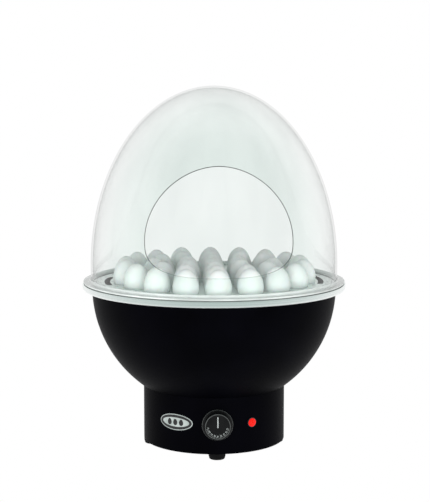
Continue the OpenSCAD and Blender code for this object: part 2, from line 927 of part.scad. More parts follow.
module gland_locknut() {
    color([0.12, 0.12, 0.12]) on_base(180, gland_z, -shell_wall - 1.3 - gland_nut_h)
        nut(gland_nut_r, gland_thread_r, gland_nut_h);
}

// Wires run on hand-placed routes between their terminals
module wire(route, paint, side = [0, 0, 1]) {
    color(paint) tube(curve(route, 6), wire_r, wire_sides, side);
}

module live_wire() {
    wire([
        [-pole_pitch, 44, 23], [-pole_pitch, 30, 23], [-24, 0, 27], [-22, -40, 42],
        [-12, -66, 58], [-9, -76, control_z], [-9, -80, control_z]
    ], [0.4, 0.22, 0.1]);
}

module switched_wire() {
    wire([
        [9, -80, control_z], [9, -72, control_z], [14, -56, 70], [34, -10, 95],
        [46, 50, 130], [47.5, 80, 160], [47.5, 82.3, 172], [47.5, 82.3, element_leg_z - 1]
    ], [0.5, 0.26, 0.12], [1, 0, 0]);
}

module neutral_wire() {
    wire([
        [0, 44, 23], [0, 32, 23], [-14, 24, 34], [-40, 40, 70], [-48, 66, 120],
        [-47.5, 80, 160], [-47.5, 82.3, 172], [-47.5, 82.3, element_leg_z - 1]
    ], [0.12, 0.25, 0.6], [1, 0, 0]);
}

module earth_wire() {
    wire([
        [pole_pitch, 44, 23], [pole_pitch, 34, 23], [24, 22, 26], [38, 22, 25],
        [earth_x - 6.5, earth_y, 22]
    ], [0.3, 0.6, 0.2]);
}

module lamp_leads() {
    tail_r = base_r - lamp_barrel_l - 11;
    near = [tail_r * sin(lamp_angle), -tail_r * cos(lamp_angle), control_z];
    across = [cos(lamp_angle), sin(lamp_angle), 0];
    for (side = [-1, 1]) wire([
        near + 3 * side * across, near + 3 * side * across + [-4, 7, 0], near + [-8, 22, -8 + 4 * side],
        [16 + 5 * side, -20, 38], [4 + 5 * side, 30, 27], [4 + 4 * side, 42, 38]
    ], side < 0 ? [0.12, 0.25, 0.6] : [0.4, 0.22, 0.1]);
}

dome();
dome_seal();
rim_ring();
egg_tray();
eggs();
bowl();
water_pan();
pan_gasket();
heating_element();
element_seals();
element_nuts();
thermostat_bulb();
bulb_clips();
bulb_gland();
thermal_cutout();
cutout_screws();
bowl_bolts();
bowl_nuts();
base_shell();
bottom_plate();
bottom_plate_screws();
feet();
foot_screws();
foot_nuts();
knob();
knob_pointer();
thermostat_shaft();
thermostat_body();
thermostat_nut();
lamp_lens();
lamp_body();
lamp_nut();
badge_plate();
badge_band();
badge_emblem();
terminal_block();
terminal_screws();
earth_stud();
earth_nut();
cable_gland();
gland_cap();
gland_seal();
gland_locknut();
live_wire();
switched_wire();
neutral_wire();
earth_wire();
lamp_leads();
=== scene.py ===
import json
import math
import random

import bmesh
import bpy
import numpy as np
from mathutils import Matrix, Vector


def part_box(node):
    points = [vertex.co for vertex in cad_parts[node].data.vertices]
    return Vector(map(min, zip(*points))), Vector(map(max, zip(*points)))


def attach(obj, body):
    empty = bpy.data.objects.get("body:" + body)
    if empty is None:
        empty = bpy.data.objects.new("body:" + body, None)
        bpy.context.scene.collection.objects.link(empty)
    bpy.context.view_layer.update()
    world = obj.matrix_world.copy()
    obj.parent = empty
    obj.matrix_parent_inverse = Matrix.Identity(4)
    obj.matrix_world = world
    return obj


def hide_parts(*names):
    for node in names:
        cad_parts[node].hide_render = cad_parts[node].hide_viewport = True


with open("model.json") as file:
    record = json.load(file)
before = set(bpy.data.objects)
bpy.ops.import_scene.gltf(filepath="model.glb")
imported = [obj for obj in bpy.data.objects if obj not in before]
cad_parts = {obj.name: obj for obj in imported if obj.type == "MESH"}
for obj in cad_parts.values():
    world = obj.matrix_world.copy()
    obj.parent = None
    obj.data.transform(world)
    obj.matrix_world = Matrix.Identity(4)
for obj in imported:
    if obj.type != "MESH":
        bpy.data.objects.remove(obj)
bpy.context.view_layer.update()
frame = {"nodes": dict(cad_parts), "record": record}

NODES = frame["nodes"]
MM = 0.001              # metres in a millimetre
WELD = 1e-6             # points nearer than this, in metres, are one


# ---------- places, from the CAD nodes, in millimetres ----------

def corners(node):
    """Lowest and highest corner of a CAD node."""
    low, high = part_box(node)
    return low / MM, high / MM


RIM_LOW, RIM_HIGH = corners("rim_ring")
DOME_LOW, DOME_HIGH = corners("dome")
EGG_LOW, EGG_HIGH = corners("eggs")
KNOB_LOW, KNOB_HIGH = corners("knob")
CAP_LOW, CAP_HIGH = corners("gland_cap")

BASE_R = corners("base_shell")[1].x
TRAY_TOP = corners("egg_tray")[1].z
CONTROL_Z = (KNOB_LOW.z + KNOB_HIGH.z) / 2
KNOB_DEPTH = -BASE_R - KNOB_LOW.y
GLAND_Z = (CAP_LOW.z + CAP_HIGH.z) / 2
LAMP_ANGLE = 28         # round the base from the front, in degrees to the right
LENS_R = 7
BADGE_ANGLE = -34.5

DOME_R = 215.5          # outer radius of the dome's straight foot
DOME_WALL = 3.5
SPRING_Z = 317.5        # where the straight foot ends and the curve starts
RISE = DOME_HIGH.z - SPRING_Z
FLANGE_T = 3
WINDOW_HALF_W = 121
WINDOW_MID_Z = 381      # height of the serving opening's widest line
WINDOW_UP = 120
WINDOW_DOWN = 58

EGG_D = 44.5
EGG_TAPER = 0.12
EGG_STEP = 52           # from one ring of eggs to the next
EGG_ROWS = 24


# ---------- mesh helpers ----------

class Shape:
    """Points and faces gathered in millimetres, then built as one object."""

    def __init__(self):
        self.points = []
        self.faces = []
        self.slots = []

    def add(self, point):
        self.points.append(Vector(point))
        return len(self.points) - 1

    def ring(self, points):
        return [self.add(p) for p in points]

    def face(self, corners_of, slot=0):
        kept = []
        for c in corners_of:
            if c not in kept:
                kept.append(c)
        if len(kept) > 2:
            self.faces.append(kept)
            self.slots.append(slot)

    def strip(self, a, b, slot=0):
        """Quads between two closed rows of points."""
        for k in range(len(a)):
            n = (k + 1) % len(a)
            self.face((a[k], a[n], b[n], b[k]), slot)

    def lathe(self, outline, steps, closed=True, place=None):
        """Turns an outline of (radius, height) round the Z axis."""
        place = place or Matrix.Identity(4)
        rows = []
        for radius, height in outline:
            if radius < 1e-6:
                rows.append([self.add(place @ Vector((0, 0, height)))] * steps)
                continue
            turn = [2 * math.pi * k / steps for k in range(steps)]
            rows.append(self.ring(
                place @ Vector((radius * math.sin(a), -radius * math.cos(a), height)) for a in turn
            ))
        for i in range(len(rows) if closed else len(rows) - 1):
            self.strip(rows[i], rows[(i + 1) % len(rows)])

    def build(self, name, materials, sharp=35, place=None):
        """One mesh object, smooth but for corners steeper than the sharp angle in degrees."""
        mesh = bpy.data.meshes.new(name)
        mesh.from_pydata([p * MM for p in self.points], [], self.faces)
        for material in materials:
            mesh.materials.append(material)
        mesh.polygons.foreach_set("material_index", self.slots)
        work = bmesh.new()
        work.from_mesh(mesh)
        bmesh.ops.remove_doubles(work, verts=work.verts, dist=WELD)
        bmesh.ops.recalc_face_normals(work, faces=work.faces)
        work.to_mesh(mesh)
        work.free()
        mesh.shade_smooth()
        mesh.set_sharp_from_angle(angle=math.radians(sharp))
        obj = bpy.data.objects.new(name, mesh)
        bpy.context.scene.collection.objects.link(obj)
        if place is not None:
            moved = place.copy()
            moved.translation = place.translation * MM
            obj.matrix_world = moved
        return obj


def rounded(outline, steps=5):
    """A closed outline of (x, y, fillet radius) corners with each corner rounded."""
    out = []
    for i, (x, y, radius) in enumerate(outline):
        here = Vector((x, y))
        back = Vector(outline[i - 1][:2]) - here
        on = Vector(outline[(i + 1) % len(outline)][:2]) - here
        if radius == 0:
            out.append(tuple(here))
            continue
        half = back.angle(on) / 2
        cut = min(radius / math.tan(half), 0.49 * back.length, 0.49 * on.length)
        radius = cut * math.tan(half)
        centre = here + (back.normalized() + on.normalized()).normalized() * radius / math.sin(half)
        first = here + back.normalized() * cut - centre
        last = here + on.normalized() * cut - centre
        turn = first.angle_signed(last)
        for j in range(steps + 1):
            a = -turn * j / steps
            out.append((centre.x + first.x * math.cos(a) - first.y * math.sin(a),
                        centre.y + first.x * math.sin(a) + first.y * math.cos(a)))
    return out


def on_base(angle, z):
    """A place on the base's wall: local +Z points outwards and local +Y up."""
    turn = Matrix.Rotation(math.radians(angle), 4, "Z")
    return turn @ Matrix.Translation((0, -BASE_R, z)) @ Matrix.Rotation(math.radians(90), 4, "X")


def piece(obj, body, slot, *nodes):
    """The object moves with a body and stands for CAD nodes; the slot is not used."""
    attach(obj, body)
    if nodes:
        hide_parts(*nodes)


# ---------- material helpers ----------

MATERIALS = {}      # every finish by the name it is made under


def new_material(name):
    """A new material's node tree and main shader."""
    material = bpy.data.materials.new(name)
    material.use_nodes = True
    MATERIALS[name] = material
    tree = material.node_tree
    return tree, tree.nodes["Principled BSDF"]


def object_coords(tree, stretch=(1, 1, 1)):
    """Coordinates in metres that move with the piece."""
    coords = tree.nodes.new("ShaderNodeTexCoord")
    mapping = tree.nodes.new("ShaderNodeMapping")
    mapping.inputs["Scale"].default_value = stretch
    tree.links.new(coords.outputs["Object"], mapping.inputs["Vector"])
    return mapping.outputs["Vector"]


def ring_coords(tree):
    """Coordinates that change with distance from the Z axis and height, hardly with angle."""
    coords = tree.nodes.new("ShaderNodeTexCoord")
    flat = tree.nodes.new("ShaderNodeVectorMath")
    flat.operation = "MULTIPLY"
    flat.inputs[1].default_value = (1, 1, 0)
    length = tree.nodes.new("ShaderNodeVectorMath")
    length.operation = "LENGTH"
    parts = tree.nodes.new("ShaderNodeSeparateXYZ")
    joined = tree.nodes.new("ShaderNodeCombineXYZ")
    tree.links.new(coords.outputs["Object"], flat.inputs[0])
    tree.links.new(flat.outputs["Vector"], length.inputs[0])
    tree.links.new(coords.outputs["Object"], parts.inputs["Vector"])
    tree.links.new(length.outputs["Value"], joined.inputs["X"])
    tree.links.new(parts.outputs["Z"], joined.inputs["Y"])
    return joined.outputs["Vector"]


def noise(tree, vector, scale, detail=3.0):
    """A soft random value; a larger scale makes it finer."""
    node = tree.nodes.new("ShaderNodeTexNoise")
    node.inputs["Scale"].default_value = scale
    node.inputs["Detail"].default_value = detail
    tree.links.new(vector, node.inputs["Vector"])
    return node.outputs["Fac"]


def span(tree, value, low, high):
    """Stretches the middle of a noise value to run from low to high."""
    node = tree.nodes.new("ShaderNodeMapRange")
    node.inputs["From Min"].default_value = 0.3
    node.inputs["From Max"].default_value = 0.7
    node.inputs["To Min"].default_value = low
    node.inputs["To Max"].default_value = high
    tree.links.new(value, node.inputs["Value"])
    return node.outputs["Result"]


def two_tone(tree, value, dark, light):
    """A colour between two tones, spread over the middle of a noise value."""
    node = tree.nodes.new("ShaderNodeValToRGB")
    node.color_ramp.elements[0].position = 0.3
    node.color_ramp.elements[1].position = 0.7
    node.color_ramp.elements[0].color = (*dark, 1)
    node.color_ramp.elements[1].color = (*light, 1)
    tree.links.new(value, node.inputs["Fac"])
    return node.outputs["Color"]


def relief(tree, bsdf, value, depth_mm):
    """Fine unevenness of a surface."""
    node = tree.nodes.new("ShaderNodeBump")
    node.inputs["Distance"].default_value = depth_mm * MM
    tree.links.new(value, node.inputs["Height"])
    tree.links.new(node.outputs["Normal"], bsdf.inputs["Normal"])


def finish(name, dark, light, rough, tone_scale, grain_scale, depth_mm,
           coords=object_coords, **settings):
    """A solid finish: two tones, uneven roughness and a fine relief."""
    tree, bsdf = new_material(name)
    vector = coords(tree)
    tone = noise(tree, vector, tone_scale)
    grain = noise(tree, vector, grain_scale)
    tree.links.new(two_tone(tree, tone, dark, light), bsdf.inputs["Base Color"])
    tree.links.new(span(tree, grain, *rough), bsdf.inputs["Roughness"])
    relief(tree, bsdf, grain, depth_mm)
    for socket, value in settings.items():
        bsdf.inputs[socket.replace("_", " ")].default_value = value


def satin_stainless():
    """Satin steel spun in rings, with a painted reflection: its colour deeper in tone face on and
    bright towards its edges.
    """
    tree, bsdf = new_material("satin_stainless")
    vector = ring_coords(tree)
    grain = noise(tree, vector, 900.0)
    tone = two_tone(tree, noise(tree, vector, 160.0), (0.84, 0.85, 0.85), (1.0, 1.0, 1.0))
    colour = tree.nodes.new("ShaderNodeVectorMath")
    colour.operation = "MULTIPLY"
    tree.links.new(tone, colour.inputs[0])
    # painted reflection: the base colour runs from darker face on to near white edge on
    tree.links.new(by_facing(tree, (0.50, 0.60, 0.575), (0.96, 0.99, 0.98), 0.75), colour.inputs[1])
    tree.links.new(colour.outputs["Vector"], bsdf.inputs["Base Color"])
    tree.links.new(span(tree, grain, 0.22, 0.34), bsdf.inputs["Roughness"])
    relief(tree, bsdf, grain, 0.02)
    bsdf.inputs["Metallic"].default_value = 1.0
    bsdf.inputs["Anisotropic"].default_value = 0.4


def shades(colour, spread):
    """A darker and a lighter tone round a colour."""
    return tuple(c * (1 - spread) for c in colour), tuple(min(1, c * (1 + spread)) for c in colour)


def sheen_by_angle(tree, facing=0.04):
    """Share of light reflected: little face on, all at a grazing angle, none from behind a face."""
    weight = tree.nodes.new("ShaderNodeLayerWeight")
    weight.inputs["Blend"].default_value = 0.5
    steep = tree.nodes.new("ShaderNodeMath")
    steep.operation = "POWER"
    steep.inputs[1].default_value = 3.0
    scaled = tree.nodes.new("ShaderNodeMapRange")
    scaled.inputs["To Min"].default_value = facing
    tree.links.new(weight.outputs["Facing"], steep.inputs[0])
    tree.links.new(steep.outputs["Value"], scaled.inputs["Value"])
    geometry = tree.nodes.new("ShaderNodeNewGeometry")
    front = tree.nodes.new("ShaderNodeMath")
    front.operation = "SUBTRACT"
    front.inputs[0].default_value = 1.0
    tree.links.new(geometry.outputs["Backfacing"], front.inputs[1])
    kept = tree.nodes.new("ShaderNodeMath")
    kept.operation = "MULTIPLY"
    tree.links.new(scaled.outputs["Result"], kept.inputs[0])
    tree.links.new(front.outputs["Value"], kept.inputs[1])
    return kept.outputs["Value"]


def tint_by_height(tree, low_z, high_z, low_tint, high_tint):
    """A see-through colour that changes between two heights, in millimetres."""
    coords = tree.nodes.new("ShaderNodeTexCoord")
    parts = tree.nodes.new("ShaderNodeSeparateXYZ")
    share = tree.nodes.new("ShaderNodeMapRange")
    share.inputs["From Min"].default_value = low_z * MM
    share.inputs["From Max"].default_value = high_z * MM
    ramp = tree.nodes.new("ShaderNodeValToRGB")
    ramp.color_ramp.elements[0].color = (*low_tint, 1)
    ramp.color_ramp.elements[1].color = (*high_tint, 1)
    tree.links.new(coords.outputs["Object"], parts.inputs["Vector"])
    tree.links.new(parts.outputs["Z"], share.inputs["Value"])
    tree.links.new(share.outputs["Result"], ramp.inputs["Fac"])
    return ramp.outputs["Color"]


def by_facing(tree, face_on, edge_on, reach=1.0):
    """A colour that changes from surfaces seen face on to surfaces seen edge on."""
    weight = tree.nodes.new("ShaderNodeLayerWeight")
    weight.inputs["Blend"].default_value = 0.5
    ramp = tree.nodes.new("ShaderNodeValToRGB")
    ramp.color_ramp.elements[1].position = reach
    ramp.color_ramp.elements[0].color = (*face_on, 1)
    ramp.color_ramp.elements[1].color = (*edge_on, 1)
    tree.links.new(weight.outputs["Facing"], ramp.inputs["Fac"])
    return ramp.outputs["Color"]


def acrylic(name, tint, haze, gloss_rough=0.02):
    """Clear plastic: tinted see-through, a faint haze and a gloss that grows with the angle."""
    tree, bsdf = new_material(name)
    tree.nodes.remove(bsdf)
    nodes = tree.nodes
    vector = object_coords(tree)
    clear = nodes.new("ShaderNodeBsdfTransparent")
    clear.inputs["Color"].default_value = (*tint, 1)
    veil = nodes.new("ShaderNodeBsdfDiffuse")
    veil.inputs["Color"].default_value = (0.85, 0.9, 0.88, 1)
    body = nodes.new("ShaderNodeMixShader")
    tree.links.new(span(tree, noise(tree, vector, 9.0), haze * 0.6, haze * 1.4), body.inputs["Fac"])
    tree.links.new(clear.outputs["BSDF"], body.inputs[1])
    tree.links.new(veil.outputs["BSDF"], body.inputs[2])
    gloss = nodes.new("ShaderNodeBsdfGlossy")
    gloss.inputs["Roughness"].default_value = gloss_rough
    wave = nodes.new("ShaderNodeBump")
    wave.inputs["Distance"].default_value = 0.2 * MM
    wave.inputs["Strength"].default_value = 0.15
    tree.links.new(noise(tree, vector, 14.0, 1.0), wave.inputs["Height"])
    tree.links.new(wave.outputs["Normal"], gloss.inputs["Normal"])
    mix = nodes.new("ShaderNodeMixShader")
    tree.links.new(sheen_by_angle(tree), mix.inputs["Fac"])
    tree.links.new(body.outputs["Shader"], mix.inputs[1])
    tree.links.new(gloss.outputs["BSDF"], mix.inputs[2])
    tree.links.new(mix.outputs["Shader"], nodes["Material Output"].inputs["Surface"])
    return tree, clear


def clear_acrylic():
    """The dome's wall, tinted a little more face on than edge on: the lighter tint edge on is a
    painted reflection.
    """
    tree, clear = acrylic("clear_acrylic", (0.94, 0.96, 0.95), 0.008)
    # painted reflection: the see-through tint lightens towards surfaces seen edge on
    tint = by_facing(tree, (0.918, 0.944, 0.934), (0.985, 0.992, 0.989), 0.62)
    cloud = two_tone(tree, noise(tree, object_coords(tree, (1, 1, 0.35)), 11.0, 2.0),
                     (0.985, 0.988, 0.987), (1.03, 1.028, 1.028))
    tinted = tree.nodes.new("ShaderNodeVectorMath")
    tinted.operation = "MULTIPLY"
    tree.links.new(tint, tinted.inputs[0])
    tree.links.new(cloud, tinted.inputs[1])
    tree.links.new(tinted.outputs["Vector"], clear.inputs["Color"])


def acrylic_flange():
    """The flange, frosted where it lies on its seal."""
    acrylic("acrylic_flange", (0.93, 0.95, 0.94), 0.62, 0.12)


def acrylic_edge():
    """The opening's cut edge, with painted shade and painted light: dark all round, lighter along the
    bottom where light gets in.
    """
    tree, clear = acrylic("acrylic_edge", (0.2, 0.25, 0.24), 0.02, 0.15)
    low, high = WINDOW_MID_Z - WINDOW_DOWN + 4, WINDOW_MID_Z - WINDOW_DOWN / 3
    # painted light along the bottom, painted shade above it
    colour = tint_by_height(tree, low, high, (0.80, 0.84, 0.83), (0.03, 0.045, 0.04))
    tree.links.new(colour, clear.inputs["Color"])


def red_lens():
    """Translucent red cap with a lit ring round a darker middle."""
    tree, bsdf = new_material("red_lens")
    distance = tree.nodes.new("ShaderNodeSeparateXYZ")
    tree.links.new(ring_coords(tree), distance.inputs["Vector"])
    ramp = tree.nodes.new("ShaderNodeValToRGB")
    stops = ramp.color_ramp.elements
    stops[0].position = 0.0
    stops[0].color = (0.06, 0.001, 0.0005, 1)
    stops[1].position = 1.0
    stops[1].color = (0.62, 0.002, 0.001, 1)
    lit = stops.new(0.4)
    lit.color = (1.0, 0.006, 0.001, 1)
    scaled = tree.nodes.new("ShaderNodeMath")
    scaled.operation = "MULTIPLY"
    scaled.inputs[1].default_value = 1 / (LENS_R * MM)
    tree.links.new(distance.outputs["X"], scaled.inputs[0])
    tree.links.new(scaled.outputs["Value"], ramp.inputs["Fac"])
    tree.links.new(ramp.outputs["Color"], bsdf.inputs["Base Color"])
    tree.links.new(ramp.outputs["Color"], bsdf.inputs["Emission Color"])
    bsdf.inputs["Emission Strength"].default_value = 0.55
    bsdf.inputs["Roughness"].default_value = 0.12
    bsdf.inputs["Specular IOR Level"].default_value = 0.2
    grain = noise(tree, object_coords(tree), 600.0)
    relief(tree, bsdf, grain, 0.03)


def black_enamel():
    """The bowl's and base's even black."""
    finish(
        "black_enamel", (0.0004, 0.0004, 0.0009), (0.0009, 0.0009, 0.0019), rough=(0.42, 0.52),
        tone_scale=12, grain_scale=420, depth_mm=0.02,
        Specular_IOR_Level=0.016)


def tray_stainless():
    """Plain sheet steel of the egg tray."""
    finish(
        "tray_stainless", (0.62, 0.67, 0.65), (0.75, 0.79, 0.78), rough=(0.30, 0.45),
        tone_scale=14, grain_scale=700, depth_mm=0.015,
        Metallic=0.9)


def pan_stainless():
    """Steel drawn in rings."""
    finish(
        "pan_stainless", (0.36, 0.39, 0.385), (0.48, 0.51, 0.505), rough=(0.25, 0.4),
        tone_scale=60, grain_scale=700, depth_mm=0.02,
        coords=ring_coords, Metallic=1.0)


def eggshell():
    """White shell with a little light under its skin."""
    finish(
        "eggshell", (0.86, 0.90, 0.885), (0.93, 0.95, 0.945), rough=(0.42, 0.6),
        tone_scale=22, grain_scale=1300, depth_mm=0.05,
        Specular_IOR_Level=0.35, Subsurface_Weight=0.08, Subsurface_Scale=0.004)


def element_sheath():
    """The heating element's heat-stained sheath."""
    finish(
        "element_sheath", (0.16, 0.15, 0.14), (0.36, 0.35, 0.33), rough=(0.35, 0.55),
        tone_scale=40, grain_scale=800, depth_mm=0.03,
        Metallic=0.9)


def ceramic():
    """Fired insulator."""
    finish(
        "ceramic", *shades((0.70, 0.67, 0.60), 0.08), rough=(0.35, 0.55),
        tone_scale=40, grain_scale=900, depth_mm=0.04)


def galvanised_plate():
    """Zinc-coated sheet."""
    finish(
        "galvanised_plate", (0.38, 0.40, 0.41), (0.60, 0.62, 0.63), rough=(0.32, 0.5),
        tone_scale=45, grain_scale=500, depth_mm=0.02,
        Metallic=0.9)


def foot_rubber():
    """Dull black rubber."""
    finish(
        "foot_rubber", (0.002, 0.002, 0.0023), (0.005, 0.005, 0.0055), rough=(0.6, 0.8),
        tone_scale=50, grain_scale=1500, depth_mm=0.06,
        Specular_IOR_Level=0.08)


def knob_plastic():
    """The knob's black body."""
    finish(
        "knob_plastic", (0.002, 0.0022, 0.0024), (0.005, 0.0053, 0.0056), rough=(0.25, 0.38),
        tone_scale=60, grain_scale=1500, depth_mm=0.03,
        Specular_IOR_Level=0.12)


def knob_edge():
    """The knob's glossier edges, lighter than the body: a painted highlight."""
    finish(
        "knob_edge", (0.03, 0.034, 0.033), (0.07, 0.077, 0.075), rough=(0.2, 0.3),
        tone_scale=90, grain_scale=1500, depth_mm=0.02,
        Specular_IOR_Level=0.5)


def white_print():
    """Pale printed figures and lines."""
    finish(
        "white_print", *shades((0.34, 0.37, 0.36), 0.06), rough=(0.4, 0.55),
        tone_scale=300, grain_scale=2000, depth_mm=0.01)


def lamp_housing():
    """The pilot lamp's moulded black housing."""
    finish(
        "lamp_housing", *shades((0.012, 0.012, 0.013), 0.2), rough=(0.2, 0.35),
        tone_scale=80, grain_scale=1500, depth_mm=0.02)


def black_nylon():
    """Moulded cable gland."""
    finish(
        "black_nylon", *shades((0.02, 0.02, 0.021), 0.25), rough=(0.4, 0.6),
        tone_scale=60, grain_scale=1500, depth_mm=0.04)


def badge_silver():
    """The badge's satin metal plate."""
    finish(
        "badge_silver", (0.42, 0.48, 0.46), (0.60, 0.66, 0.64), rough=(0.3, 0.42),
        tone_scale=90, grain_scale=1600, depth_mm=0.02,
        Metallic=0.85)


def badge_black():
    """The badge's glossy black fields."""
    finish(
        "badge_black", (0.003, 0.003, 0.004), (0.006, 0.006, 0.008), rough=(0.15, 0.25),
        tone_scale=120, grain_scale=1600, depth_mm=0.01)


def terminal_plastic():
    """Ivory moulded terminals."""
    finish(
        "terminal_plastic", *shades((0.80, 0.80, 0.75), 0.05), rough=(0.35, 0.5),
        tone_scale=60, grain_scale=1200, depth_mm=0.03)


def silicone(name, colour, spread, rough):
    """Moulded seals."""
    finish(
        name, *shades(colour, spread), rough=rough, tone_scale=60, grain_scale=900, depth_mm=0.03)


def bare_metal(name, dark, light, rough, tone_scale, grain_scale):
    """Turned, drawn or plated metal."""
    finish(
        name, dark, light, rough=rough,
        tone_scale=tone_scale, grain_scale=grain_scale, depth_mm=0.02, Metallic=1.0)


def wire_cover(name, colour):
    """A wire's coloured cover."""
    finish(
        name, *shades(colour, 0.12), rough=(0.35, 0.5), tone_scale=60, grain_scale=1500, depth_mm=0.03)


def make_materials():
    """Makes every finish. A name is the record's slot name where a CAD node wears the finish."""
    for make in (
        clear_acrylic, acrylic_edge, acrylic_flange, satin_stainless, red_lens, black_enamel,
        tray_stainless, pan_stainless, eggshell, element_sheath, ceramic, galvanised_plate,
        foot_rubber, knob_plastic, knob_edge, white_print, lamp_housing, black_nylon,
        badge_silver, badge_black, terminal_plastic
    ):
        make()
    silicone("dark_silicone", (0.10, 0.115, 0.11), 0.2, (0.5, 0.7))
    silicone("clear_silicone", (0.66, 0.68, 0.66), 0.06, (0.4, 0.6))
    silicone("red_silicone", (0.45, 0.10, 0.06), 0.12, (0.5, 0.65))
    bare_metal("brass", (0.55, 0.40, 0.16), (0.78, 0.60, 0.28), (0.25, 0.4), 50, 900)
    bare_metal("copper", (0.50, 0.22, 0.12), (0.80, 0.42, 0.27), (0.22, 0.4), 40, 900)
    bare_metal("zinc_screw", (0.45, 0.46, 0.47), (0.68, 0.69, 0.70), (0.22, 0.38), 70, 1200)
    wire_cover("brown_wire", (0.22, 0.10, 0.045))
    wire_cover("blue_wire", (0.05, 0.12, 0.42))
    wire_cover("green_wire", (0.14, 0.42, 0.08))


# ---------- CAD nodes that stay ----------

def smoothing(degrees):
    """Modifier nodes that join a CAD node's faces and keep only real corners sharp."""
    tree = bpy.data.node_groups.new("smooth_by_angle", "GeometryNodeTree")
    tree.interface.new_socket("Geometry", in_out="INPUT", socket_type="NodeSocketGeometry")
    tree.interface.new_socket("Geometry", in_out="OUTPUT", socket_type="NodeSocketGeometry")
    source = tree.nodes.new("NodeGroupInput")
    result = tree.nodes.new("NodeGroupOutput")
    merge = tree.nodes.new("GeometryNodeMergeByDistance")
    merge.inputs["Distance"].default_value = WELD
    faces = tree.nodes.new("GeometryNodeSetShadeSmooth")
    edges = tree.nodes.new("GeometryNodeSetShadeSmooth")
    edges.domain = "EDGE"
    edges.inputs["Shade Smooth"].default_value = False
    angle = tree.nodes.new("GeometryNodeInputMeshEdgeAngle")
    compare = tree.nodes.new("FunctionNodeCompare")
    compare.operation = "GREATER_THAN"
    compare.inputs["B"].default_value = math.radians(degrees)
    tree.links.new(source.outputs[0], merge.inputs["Geometry"])
    tree.links.new(merge.outputs["Geometry"], faces.inputs["Geometry"])
    tree.links.new(faces.outputs["Geometry"], edges.inputs["Geometry"])
    tree.links.new(angle.outputs["Unsigned Angle"], compare.inputs["A"])
    tree.links.new(compare.outputs["Result"], edges.inputs["Selection"])
    tree.links.new(edges.outputs["Geometry"], result.inputs[0])
    return tree


def dress_cad_nodes():
    """Each CAD node gets its slot's finish and smooth shading across its facets."""
    tree = smoothing(30)
    for row in frame["record"]["subparts"]:
        obj = NODES[row["node"]]
        mesh = obj.data
        mesh.materials.clear()
        mesh.materials.append(MATERIALS[row["material_slot"]])
        normals = mesh.attributes.get("custom_normal")
        if normals is not None:
            mesh.attributes.remove(normals)
        modifier = obj.modifiers.new("smooth", "NODES")
        modifier.node_group = tree


# ---------- dome ----------

COLUMNS = 240           # grid columns all the way round
FOOT_ROWS = 2           # rows from the flange's fillet up to the patch
CROWN_ROWS = 42         # rows from the patch up to the top
PATCH_COLUMNS = 31      # columns of the patch round the opening, each side of its middle
PATCH_ROWS = 48
PATCH_RINGS = 14        # rings between the opening and the patch's border
RING_SPREAD = 1.35      # above 1, the rings crowd towards the opening
PATCH_LOW_Z = 303
PATCH_HIGH_Z = 546
PATCH_CENTRE_UP = 14    # the rings' centre above the opening's widest line
OUTLINE_STEPS = 1440    # points tried along the outline
FLANGE_FILLET = 4
FLANGE_ROUND = 0.8      # radius of the flange's outer edge
EDGE_BULGE = 1.1        # how far the polished edge stands into the opening
EDGE_STEPS = 6
FOOT_Z = DOME_LOW.z + FLANGE_T + FLANGE_FILLET


def row_at(z):
    """The dome's row value at a height: a share of the rise below the spring, an angle above."""
    share = (z - SPRING_Z) / RISE
    return share if share < 0 else math.asin(share)


def skin_point(phi, row, inset):
    """A point of the outer skin, or of one further in."""
    if row < 0:
        radius = DOME_R - inset
        z = SPRING_Z + row * RISE
    else:
        radius = (DOME_R - inset) * math.cos(row)
        z = SPRING_Z + (RISE - inset) * math.sin(row)
    return Vector((radius * math.sin(phi), -radius * math.cos(phi), z))


def window_point(t):
    """The serving opening's outline seen from the front: squarer below, rounder above."""
    c, s = math.cos(t), math.sin(t)
    power = 1.9 if s >= 0 else 3.0
    height = WINDOW_UP if s >= 0 else WINDOW_DOWN
    x = WINDOW_HALF_W * math.copysign(abs(c) ** (2 / power), c)
    z = WINDOW_MID_Z + height * math.copysign(abs(s) ** (2 / power), s)
    return x, z


def window_on_skin(t, inset):
    """The outline's place on a skin, as the angle round the axis and the row value."""
    x, z = window_point(t)
    row = math.asin((z - SPRING_Z) / (RISE - inset))
    return math.asin(x / ((DOME_R - inset) * math.cos(row))), row


def patch_border():
    """The rectangle of grid points round the opening, as (column, row number)."""
    c, r = PATCH_COLUMNS, PATCH_ROWS
    border = [(k, 0) for k in range(-c, c)]
    border += [(c, k) for k in range(r)]
    border += [(k, r) for k in range(c, -c, -1)]
    border += [(-c, k) for k in range(r, 0, -1)]
    return border


def patch_rows():
    """Row values of the patch, from its lowest to its highest."""
    return np.linspace(row_at(PATCH_LOW_Z), row_at(PATCH_HIGH_Z), PATCH_ROWS + 1)


def outline_matches():
    """For each border point, the outline's parameter in the same direction."""
    middle = row_at(WINDOW_MID_Z + PATCH_CENTRE_UP) * RISE
    dense = np.linspace(0, 2 * math.pi, OUTLINE_STEPS, endpoint=False)
    on_skin = np.array([window_on_skin(t, 0) for t in dense])
    bearing = np.unwrap(np.arctan2(on_skin[:, 1] * RISE - middle, on_skin[:, 0] * DOME_R))
    bearing = np.concatenate([bearing - 2 * math.pi, bearing, bearing + 2 * math.pi])
    values = np.concatenate([dense - 2 * math.pi, dense, dense + 2 * math.pi])
    rows = patch_rows()
    found = []
    for column, number in patch_border():
        phi = 2 * math.pi * column / COLUMNS
        wanted = math.atan2(rows[number] * RISE - middle, phi * DOME_R)
        found.append(float(np.interp(wanted, bearing, values)))
    return found


def signed(column):
    """The same grid column counted from minus half the columns up."""
    half = COLUMNS // 2
    return (column + half) % COLUMNS - half


